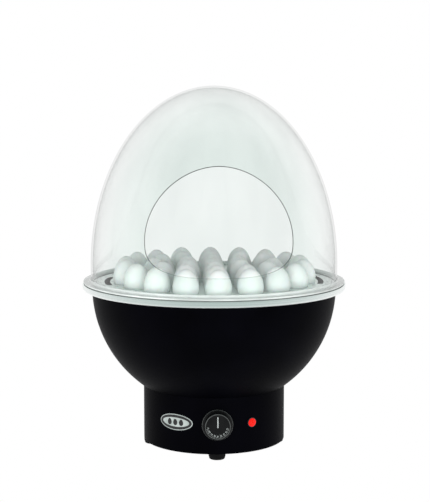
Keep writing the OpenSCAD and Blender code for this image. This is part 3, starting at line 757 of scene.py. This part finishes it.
def skin_grid(shape, inset):
    """The skin's points, a dictionary by column for each row, with the patch's inside left out."""
    middle = patch_rows()
    low = np.linspace(row_at(FOOT_Z), middle[0], FOOT_ROWS + 1)[:-1]
    high = np.linspace(middle[-1], math.pi / 2, CROWN_ROWS + 1)[1:-1]
    grid = []
    for number, row in enumerate([*low, *middle, *high], -FOOT_ROWS):
        hollow = 0 < number < PATCH_ROWS
        line = {}
        for column in map(signed, range(COLUMNS)):
            if not (hollow and abs(column) < PATCH_COLUMNS):
                line[column] = shape.add(skin_point(2 * math.pi * column / COLUMNS, row, inset))
        grid.append(line)
    return grid


def skin_faces(shape, grid, top):
    """Quads between the grid's rows round the patch, and triangles up to the top point."""
    for number, (a, b) in enumerate(zip(grid, grid[1:]), -FOOT_ROWS):
        for left in range(-COLUMNS // 2, COLUMNS // 2):
            if 0 <= number < PATCH_ROWS and -PATCH_COLUMNS <= left < PATCH_COLUMNS:
                continue
            right = signed(left + 1)
            shape.face((a[left], a[right], b[right], b[left]))
    last = grid[-1]
    for left in range(-COLUMNS // 2, COLUMNS // 2):
        shape.face((last[left], last[signed(left + 1)], top))


def patch_rings(shape, inset, matches, rim):
    """Rings that blend from the opening's outline to the grid's points round the patch."""
    rows = patch_rows()
    rings = []
    for j in range(PATCH_RINGS):
        share = (j / PATCH_RINGS) ** RING_SPREAD
        ring = []
        for (column, number), t in zip(patch_border(), matches):
            phi, row = window_on_skin(t, inset)
            phi = phi + (2 * math.pi * column / COLUMNS - phi) * share
            row = row + (rows[number] - row) * share
            ring.append(shape.add(skin_point(phi, row, inset)))
        rings.append(ring)
    rings.append(rim)
    for a, b in zip(rings, rings[1:]):
        shape.strip(a, b)
    return rings[0]


def dome_skin(shape, inset, matches):
    """One skin of the dome with the opening left out: its foot ring and its outline ring."""
    grid = skin_grid(shape, inset)
    top = shape.add(skin_point(0, math.pi / 2, inset))
    skin_faces(shape, grid, top)
    rim = [grid[FOOT_ROWS + number][column] for column, number in patch_border()]
    outline = patch_rings(shape, inset, matches, rim)
    foot = [grid[0][signed(k)] for k in range(COLUMNS)]
    return foot, outline


def dome_flange(shape, outer_foot, inner_foot):
    """The out-turned flange between the two skins' feet."""
    low = DOME_LOW.z
    top = low + FLANGE_T
    lip = DOME_HIGH.x - FLANGE_ROUND
    fillet_r = DOME_R + FLANGE_FILLET
    inner = DOME_R - DOME_WALL
    quarter = math.pi / 2
    arc = [(fillet_r - FLANGE_FILLET * math.cos(a), FOOT_Z - FLANGE_FILLET * math.sin(a))
           for a in np.linspace(0, quarter, 7)[1:]]
    crest = [(lip + FLANGE_ROUND * math.sin(a), top - FLANGE_ROUND * (1 - math.cos(a)))
             for a in np.linspace(0, quarter, 4)]
    tip = [(lip + FLANGE_ROUND * math.sin(a), low + FLANGE_ROUND * (1 - math.cos(a)))
           for a in np.linspace(quarter, 0, 4)]
    under = [(inner + 6, low), (inner + 0.4, low), (inner, low + 0.4)]
    under += [(inner, low + 2), (inner, low + 4)]
    turn = [2 * math.pi * k / COLUMNS for k in range(COLUMNS)]
    rows = [outer_foot]
    for radius, z in arc + crest + tip + under:
        rows.append(shape.ring((radius * math.sin(a), -radius * math.cos(a), z) for a in turn))
    rows.append(inner_foot)
    for a, b in zip(rows, rows[1:]):
        shape.strip(a, b, slot=2)


def dome_edge(shape, outer, inner):
    """The opening's polished edge, a half-round band between the skins."""
    middle = sum((shape.points[i] for i in outer), Vector()) / len(outer)
    rows = [outer]
    for j in range(1, EDGE_STEPS):
        a = math.pi * j / EDGE_STEPS
        ring = []
        for o, i in zip(outer, inner):
            start, end = shape.points[o], shape.points[i]
            inwards = middle - start
            inwards.y = 0
            across = start.lerp(end, (1 - math.cos(a)) / 2)
            ring.append(shape.add(across + inwards.normalized() * EDGE_BULGE * math.sin(a)))
        rows.append(ring)
    rows.append(inner)
    for a, b in zip(rows, rows[1:]):
        shape.strip(a, b, slot=1)


def make_dome():
    """Two skins joined by the flange below and the opening's edge in front."""
    shape = Shape()
    matches = outline_matches()
    outer_foot, outer_line = dome_skin(shape, 0.0, matches)
    inner_foot, inner_line = dome_skin(shape, DOME_WALL, matches)
    dome_flange(shape, outer_foot, inner_foot)
    dome_edge(shape, outer_line, inner_line)
    finishes = [MATERIALS["clear_acrylic"], MATERIALS["acrylic_edge"], MATERIALS["acrylic_flange"]]
    obj = shape.build("clear_dome", finishes, sharp=60)
    piece(obj, "dome", "clear_acrylic", "dome")


# ---------- rim ring ----------

def make_rim_ring():
    """The rolled C-section ring with rounded shoulder, curl and hemmed ends."""
    top, low, edge = RIM_HIGH.z, RIM_LOW.z, RIM_HIGH.x
    inner, thick, curl_end = 207, 2, 214
    outline = rounded([
        (inner, top, 0.9), (edge, top, 1.5), (edge, low, 6), (curl_end, low, 0.9),
        (curl_end, low + thick, 0.9), (edge - thick, low + thick, 4),
        (edge - thick, top - thick, 0.3), (inner, top - thick, 0.9)
    ], 8)
    shape = Shape()
    shape.lathe(outline, 240)
    obj = shape.build("rim_ring_rolled", [MATERIALS["satin_stainless"]])
    piece(obj, "base", "satin_stainless", "rim_ring")


# ---------- eggs ----------

def egg_places():
    """One egg in the middle and rings of 6, 12 and 18 round it."""
    places = [(0.0, 0.0)]
    for ring in (1, 2, 3):
        for k in range(6 * ring):
            a = 2 * math.pi * k / (6 * ring)
            radius = ring * EGG_STEP
            places.append((radius * math.sin(a), -radius * math.cos(a)))
    return places


def egg_outline(girth, tall, taper):
    """Half of an egg's outline as (radius, height above the tray), from its low end up."""
    length = EGG_HIGH.z - EGG_LOW.z
    outline = []
    for i in range(EGG_ROWS + 1):
        a = math.radians(-90 + 180 * i / EGG_ROWS)
        radius = EGG_D / 2 * math.cos(a) * (1 - taper * math.sin(a)) * girth
        z = EGG_LOW.z + length * (math.sin(a) + 1) / 2 - TRAY_TOP
        outline.append((radius if 0 < i < EGG_ROWS else 0.0, z * (tall if z > 0 else 1.0)))
    return outline


def make_eggs():
    """All the eggs, each a little different in size, shape and lean."""
    dice = random.Random(7)
    shape = Shape()
    for x, y in egg_places():
        girth = dice.uniform(0.985, 0.998)
        tall = dice.uniform(0.965, 1.0)
        taper = EGG_TAPER * dice.uniform(0.9, 1.25)
        turn = math.radians(dice.uniform(0, 1.2))
        axis = Vector((dice.uniform(-1, 1), dice.uniform(-1, 1), 0.01)).normalized()
        place = Matrix.Translation((x, y, TRAY_TOP)) @ Matrix.Rotation(turn, 4, axis)
        shape.lathe(egg_outline(girth, tall, taper), 40, closed=False, place=place)
    obj = shape.build("egg_load", [MATERIALS["eggshell"]], sharp=60)
    piece(obj, "tray", "eggshell", "eggs")


# ---------- knob ----------

FACE_SUNK = 0.8         # how far the knob's face lies below its lip
NUMBERS = range(30, 111, 10)
NUMBER_H = 3.5
NUMBER_R = 16.2
PRINT_UP = 0.03         # half a figure's thickness
FIRST_TURN = 104        # the scale's ends, in degrees clockwise from the top
LAST_TURN = 256
TICKS_EACH = 4          # ticks from one number to the next
TICK_R = 19.3           # outer end of every tick


def polish_edges(shape, skirt, lip):
    """Gives the skirt's outermost band and the face's lip the second finish: glossier, with a painted
    highlight.
    """
    for i, face in enumerate(shape.faces):
        middle = sum((shape.points[k] for k in face), Vector()) / len(face)
        radius = math.hypot(middle.x, middle.y)
        on_lip = lip[0] < radius < lip[1] and middle.z > KNOB_DEPTH - 0.6
        if skirt[0] < radius < skirt[1] or on_lip:
            shape.slots[i] = 1


def make_knob():
    """Round knob: rounded skirt, sloping shoulder and a lipped, sunk face."""
    edge = (KNOB_HIGH.x - KNOB_LOW.x) / 2
    depth = KNOB_DEPTH
    face = depth - FACE_SUNK
    outline = rounded([
        (12, 0.8, 0), (edge, 0.8, 0.4), (edge, 4.6, 1.6), (edge - 3.2, 7.4, 1.2),
        (21.5, depth - 0.4, 0.5), (20.9, depth, 0.4), (20.3, depth - 0.1, 0.3), (20.0, face, 0.2),
        (0, face, 0), (0, depth - 3, 0), (3.2, depth - 3, 0), (3.2, 9.3, 0), (12, 9.3, 0)
    ], 4)
    shape = Shape()
    shape.lathe(outline, 144)
    # the skirt's edge and the lip get the glossier finish with its painted highlight
    polish_edges(shape, (edge - 0.7, edge + 1), (20.2, 21.6))
    finishes = [MATERIALS["knob_plastic"], MATERIALS["knob_edge"]]
    obj = shape.build("knob_turned", finishes, place=on_base(0, CONTROL_Z))
    piece(obj, "knob", "knob_plastic", "knob")


def number_mesh(number):
    """A thin number as points and faces, centred on zero."""
    curve = bpy.data.curves.new("figure", "FONT")
    curve.body = str(number)
    curve.size = NUMBER_H
    curve.align_x = "CENTER"
    curve.align_y = "CENTER"
    curve.resolution_u = 3
    curve.extrude = PRINT_UP
    holder = bpy.data.objects.new("figure", curve)
    bpy.context.scene.collection.objects.link(holder)
    bpy.context.view_layer.update()
    mesh = bpy.data.meshes.new_from_object(holder)
    points = [v.co.copy() for v in mesh.vertices]
    faces = [tuple(p.vertices) for p in mesh.polygons]
    bpy.data.objects.remove(holder)
    bpy.data.curves.remove(curve)
    bpy.data.meshes.remove(mesh)
    return points, faces


def bar(shape, place, half_w, half_h, low, high):
    """A thin printed bar."""
    c = shape.ring(place @ Vector((x * half_w, y * half_h, z)) for z in (low, high)
                   for x, y in ((-1, -1), (1, -1), (1, 1), (-1, 1)))
    shape.face((c[3], c[2], c[1], c[0]))
    shape.face((c[4], c[5], c[6], c[7]))
    for k in range(4):
        n = (k + 1) % 4
        shape.face((c[k], c[n], c[4 + n], c[4 + k]))


def dial_turn(share):
    """The turn from the top of the face to a share of the scale's length."""
    return Matrix.Rotation(-math.radians(FIRST_TURN + (LAST_TURN - FIRST_TURN) * share), 4, "Z")


def make_dial_print():
    """Temperature numbers and ticks round the knob's lower face."""
    shape = Shape()
    face_z = KNOB_DEPTH - FACE_SUNK
    steps = len(NUMBERS) - 1
    for k, number in enumerate(NUMBERS):
        points, faces = number_mesh(number)
        place = dial_turn(k / steps) @ Matrix.Translation((0, NUMBER_R, face_z + PRINT_UP))
        start = len(shape.points)
        shape.ring(place @ p for p in points)
        for face in faces:
            shape.face([start + i for i in face])
    for k in range(TICKS_EACH * steps + 1):
        at_number = k % TICKS_EACH == 0
        half_w, half_h = (0.22, 0.8) if at_number else (0.17, 0.5)
        place = dial_turn(k / TICKS_EACH / steps) @ Matrix.Translation((0, TICK_R - half_h, 0))
        bar(shape, place, half_w, half_h, face_z - 0.02, face_z + 2 * PRINT_UP)
    obj = shape.build("dial_numbers", [MATERIALS["white_print"]], place=on_base(0, CONTROL_Z))
    piece(obj, "knob", "white_print")


# ---------- pilot lamp ----------

def make_lamp_lens():
    """Domed lens with a stepped edge and a fine ring moulded in its face."""
    outline = rounded([
        (0, 1.2, 0), (LENS_R, 1.2, 0), (LENS_R, 3.0, 0.4), (6.4, 3.4, 0.2), (5.9, 3.9, 0.3),
        (4.6, 4.55, 0.6), (4.3, 4.4, 0.1), (4.0, 4.65, 0.2), (2.4, 5.1, 1.0), (0, 5.2, 0)
    ], 3)
    shape = Shape()
    shape.lathe(outline, 72, closed=False)
    place = on_base(LAMP_ANGLE, CONTROL_Z)
    obj = shape.build("lamp_lens_domed", [MATERIALS["red_lens"]], sharp=50, place=place)
    piece(obj, "base", "red_lens", "lamp_lens")


# ---------- badge ----------

BADGE_W = 65
BADGE_H = 28
BADGE_T = 0.9
PRINT_LOW = 0.85        # foot and top of the black band and of the emblem, above the wall
PRINT_TOP = 1.15
BAND_OUT = 1.5          # the band's outer and inner edge, in from the plate's edge
BAND_IN = 6
EMBLEM_W = 7.95
EMBLEM_H = 11.04
EMBLEM_PITCH = 11.5
EMBLEM_TAPER = 0.15     # how much narrower an emblem egg is above its middle


def on_badge(x, y, height):
    """A badge point at a height above the base's curved wall, in the badge's own place."""
    radius = BASE_R + height
    return Vector((x, y, math.sqrt(radius * radius - x * x) - BASE_R))


def oval_ring(shape, half_w, half_h, height, middle=0.0, taper=0.0, steps=96):
    """One oval of points on the badge, narrower above its middle where it tapers."""
    ring = []
    for k in range(steps):
        a = 2 * math.pi * k / steps
        x = middle + half_w * math.cos(a) * (1 - taper * math.sin(a))
        ring.append(shape.add(on_badge(x, half_h * math.sin(a), height)))
    return ring


def oval_disc(shape, half_w, half_h, profile, middle=0.0, taper=0.0, steps=96):
    """An oval plate: rings at (inset, height) steps, then shrinking rings to its middle."""
    rings = [oval_ring(shape, half_w - inset, half_h - inset, height, middle, taper, steps)
             for inset, height in profile]
    inset, height = profile[-1]
    for share in (0.85, 0.7, 0.55, 0.4, 0.25, 0.1):
        rings.append(oval_ring(shape, (half_w - inset) * share, (half_h - inset) * share, height,
                               middle, taper, steps))
    for a, b in zip(rings, rings[1:]):
        shape.strip(a, b)
    centre = shape.add(on_badge(middle, 0, height))
    last = rings[-1]
    for k in range(steps):
        shape.face((last[k], last[(k + 1) % steps], centre))
    return rings[0]


def badge_piece(shape, name, slot, node):
    """Builds a badge shape in its place on the base's wall."""
    obj = shape.build(name, [MATERIALS[slot]], sharp=40, place=on_base(BADGE_ANGLE, CONTROL_Z))
    piece(obj, "base", slot, node)


def make_badge_plate():
    """Oval metal plate with a rounded edge."""
    shape = Shape()
    front = [(0, 0.05), (0, 0.5), (0.15, 0.75), (0.45, 0.88), (0.9, BADGE_T), (4, BADGE_T)]
    edge = oval_disc(shape, BADGE_W / 2, BADGE_H / 2, front)
    back = oval_disc(shape, BADGE_W / 2, BADGE_H / 2, [(0.2, 0.0)])
    shape.strip(edge, back)
    badge_piece(shape, "badge_plate_oval", "badge_silver", "badge_plate")


def make_badge_band():
    """Black oval band, a little above the plate, with rounded edges."""
    shape = Shape()
    profile = [
        (BAND_OUT, PRINT_LOW), (BAND_OUT, 1.02), (BAND_OUT + 0.2, 1.13), (BAND_OUT + 0.6, PRINT_TOP),
        (BAND_IN - 0.6, PRINT_TOP), (BAND_IN - 0.2, 1.13), (BAND_IN, 1.02), (BAND_IN, PRINT_LOW)
    ]
    rings = [oval_ring(shape, BADGE_W / 2 - inset, BADGE_H / 2 - inset, height)
             for inset, height in profile]
    for k, ring in enumerate(rings):
        shape.strip(ring, rings[(k + 1) % len(rings)])
    badge_piece(shape, "badge_band_oval", "badge_black", "badge_band")


def make_badge_emblem():
    """A plain emblem: three upright egg shapes side by side."""
    shape = Shape()
    half_w, half_h, steps = EMBLEM_W / 2, EMBLEM_H / 2, 48
    front = [(0, 0.88), (0, 1.05), (0.2, 1.14), (0.5, PRINT_TOP)]
    for middle in (-EMBLEM_PITCH, 0, EMBLEM_PITCH):
        edge = oval_disc(shape, half_w, half_h, front, middle, EMBLEM_TAPER, steps)
        back = oval_disc(shape, half_w, half_h, [(0.1, PRINT_LOW)], middle, EMBLEM_TAPER, steps)
        shape.strip(edge, back)
    badge_piece(shape, "badge_emblem_eggs", "badge_black", "badge_emblem")


# ---------- cable gland ----------

CAP_BORE = 4.2
CAP_ROUND = 4           # radius of the cap's rounded end
FLUTES = 16
FLUTE_DEPTH = 0.45


def cap_profile():
    """The cap's (radius, height, share of flute depth) points, round from its foot to its bore."""
    length = CAP_HIGH.y - CAP_LOW.y
    outer = (CAP_HIGH.x - CAP_LOW.x) / 2
    side = [(outer, 0.0, 0.5), (outer, 0.6, 1.0), (outer, length * 0.62, 1.0)]
    side += [(outer - 0.4, length * 0.7, 0.3)]
    end = [(outer - CAP_ROUND + 3.9 * math.cos(a), length - CAP_ROUND * (1 - math.sin(a)), 0.0)
           for a in np.linspace(0.2, math.pi / 2, 6)]
    bore = [(CAP_BORE + 0.5, length, 0.0), (CAP_BORE, length - 0.4, 0.0), (CAP_BORE, 0.0, 0.0)]
    return side + end + bore


def make_gland_cap():
    """The gland's domed cap with grip flutes round its lower half."""
    steps = 96
    start = CAP_LOW.y - BASE_R
    shape = Shape()
    rows = []
    for radius, height, flute in cap_profile():
        row = []
        for k in range(steps):
            a = 2 * math.pi * k / steps
            dip = FLUTE_DEPTH * flute * (0.5 - 0.5 * math.cos(FLUTES * a)) ** 2
            around = ((radius - dip) * math.cos(a), (radius - dip) * math.sin(a))
            row.append(shape.add((*around, start + height)))
        rows.append(row)
    for k, row in enumerate(rows):
        shape.strip(row, rows[(k + 1) % len(rows)])
    place = on_base(180, GLAND_Z)
    obj = shape.build("gland_cap_fluted", [MATERIALS["black_nylon"]], sharp=40, place=place)
    piece(obj, "base", "black_nylon", "gland_cap")


# ---------- stage ----------

MIDDLE = (0, 0, 0.33)       # what the lights aim at, in metres
CAMERA_AWAY = 2.308         # from the object's axis, in metres
CAMERA_UP = 0.6244
CAMERA_TURN = -2.7          # to the left of the front, in degrees
CAMERA_PITCH = 6.97         # downwards, in degrees


def make_floor():
    """A plain pale floor that stays light under the object."""
    reach = 12.0
    mesh = bpy.data.meshes.new("floor")
    around = [(-reach, -reach, 0), (reach, -reach, 0), (reach, reach, 0), (-reach, reach, 0)]
    mesh.from_pydata(around, [], [(0, 1, 2, 3)])
    floor = bpy.data.objects.new("floor", mesh)
    bpy.context.scene.collection.objects.link(floor)
    tree, bsdf = new_material("pale_floor")
    bsdf.inputs["Base Color"].default_value = (0.0, 0.0, 0.0, 1)
    bsdf.inputs["Roughness"].default_value = 0.9
    bsdf.inputs["Specular IOR Level"].default_value = 0.0
    bsdf.inputs["Emission Color"].default_value = (1, 1, 1, 1)
    path = tree.nodes.new("ShaderNodeLightPath")
    glow = tree.nodes.new("ShaderNodeMapRange")
    glow.inputs["To Min"].default_value = 1.0
    glow.inputs["To Max"].default_value = 0.95
    tree.links.new(path.outputs["Is Glossy Ray"], glow.inputs["Value"])
    tree.links.new(glow.outputs["Result"], bsdf.inputs["Emission Strength"])
    mesh.materials.append(MATERIALS["pale_floor"])


def sky(tree, height, horizon, side, ceiling):
    """A background graded from the horizon and floor up to the ceiling."""
    ramp = tree.nodes.new("ShaderNodeValToRGB")
    stops = ramp.color_ramp.elements
    stops[0].position = 0.0
    stops[0].color = (*horizon, 1)
    stops[1].position = 1.0
    stops[1].color = (*ceiling, 1)
    between = stops.new(0.4)
    between.color = (*side, 1)
    background = tree.nodes.new("ShaderNodeBackground")
    tree.links.new(height, ramp.inputs["Fac"])
    tree.links.new(ramp.outputs["Color"], background.inputs["Color"])
    return background.outputs["Background"]


def make_world():
    """White to look at, near white in reflections, and a soft light that comes from low down."""
    world = bpy.data.worlds.new("studio")
    bpy.context.scene.world = world
    world.use_nodes = True
    tree = world.node_tree
    nodes = tree.nodes
    nodes.clear()
    coords = nodes.new("ShaderNodeTexCoord")
    parts = nodes.new("ShaderNodeSeparateXYZ")
    tree.links.new(coords.outputs["Generated"], parts.inputs["Vector"])
    height = parts.outputs["Z"]
    seen = sky(tree, height, (1, 1, 1), (1, 1, 1), (1, 1, 1))
    mirrored = sky(tree, height, (1, 1, 1), (0.96, 0.98, 0.97), (0.6, 0.65, 0.63))
    lit = sky(tree, height, (0.95, 0.96, 0.96), (0.42, 0.44, 0.435), (0.10, 0.11, 0.107))
    path = nodes.new("ShaderNodeLightPath")
    glossy = nodes.new("ShaderNodeMixShader")
    tree.links.new(path.outputs["Is Glossy Ray"], glossy.inputs["Fac"])
    tree.links.new(lit, glossy.inputs[1])
    tree.links.new(mirrored, glossy.inputs[2])
    camera = nodes.new("ShaderNodeMixShader")
    tree.links.new(path.outputs["Is Camera Ray"], camera.inputs["Fac"])
    tree.links.new(glossy.outputs["Shader"], camera.inputs[1])
    tree.links.new(seen, camera.inputs[2])
    output = nodes.new("ShaderNodeOutputWorld")
    tree.links.new(camera.outputs["Shader"], output.inputs["Surface"])


def soft_light(name, at, width, height, power):
    """A soft panel aimed at the object's middle, which gives light but no reflection of itself."""
    light = bpy.data.lights.new(name, "AREA")
    light.shape = "RECTANGLE"
    light.size = width
    light.size_y = height
    light.energy = power
    obj = bpy.data.objects.new(name, light)
    obj.location = at
    obj.rotation_euler = (Vector(MIDDLE) - Vector(at)).to_track_quat("-Z", "Y").to_euler()
    obj.visible_glossy = False
    bpy.context.scene.collection.objects.link(obj)


def make_lights():
    """Panels at (x, y, z), width and height in metres and power in watts."""
    soft_light("front_left", (-1.3, -2.4, 0.9), 1.0, 1.4, 14)
    soft_light("front_right", (1.5, -2.3, 0.8), 0.8, 1.4, 10)
    soft_light("low_front", (0.0, -2.6, 0.32), 2.4, 0.5, 42)
    soft_light("low_left", (-2.4, 0.2, 0.4), 1.6, 0.5, 7)
    soft_light("low_right", (2.4, 0.2, 0.4), 1.6, 0.5, 7)
    soft_light("low_back", (0.0, 2.6, 0.4), 2.0, 0.5, 18)


def make_camera():
    """The camera at the picture's angle: a little left of the front and above the rim."""
    data = bpy.data.cameras.new("camera")
    data.lens = 95.11
    data.sensor_width = 36
    data.shift_x = 0.002
    data.clip_end = 50
    side = math.radians(CAMERA_TURN)
    camera = bpy.data.objects.new("camera", data)
    camera.location = (CAMERA_AWAY * math.sin(side), -CAMERA_AWAY * math.cos(side), CAMERA_UP)
    camera.rotation_euler = (math.radians(90 - CAMERA_PITCH), 0, side)
    bpy.context.scene.collection.objects.link(camera)
    bpy.context.scene.camera = camera


make_materials()
make_camera()
make_world()
make_lights()
make_floor()
dress_cad_nodes()
make_dome()
make_rim_ring()
make_eggs()
make_knob()
make_dial_print()
make_lamp_lens()
make_badge_plate()
make_badge_band()
make_badge_emblem()
make_gland_cap()
bpy.context.scene.view_settings.view_transform = "Standard"
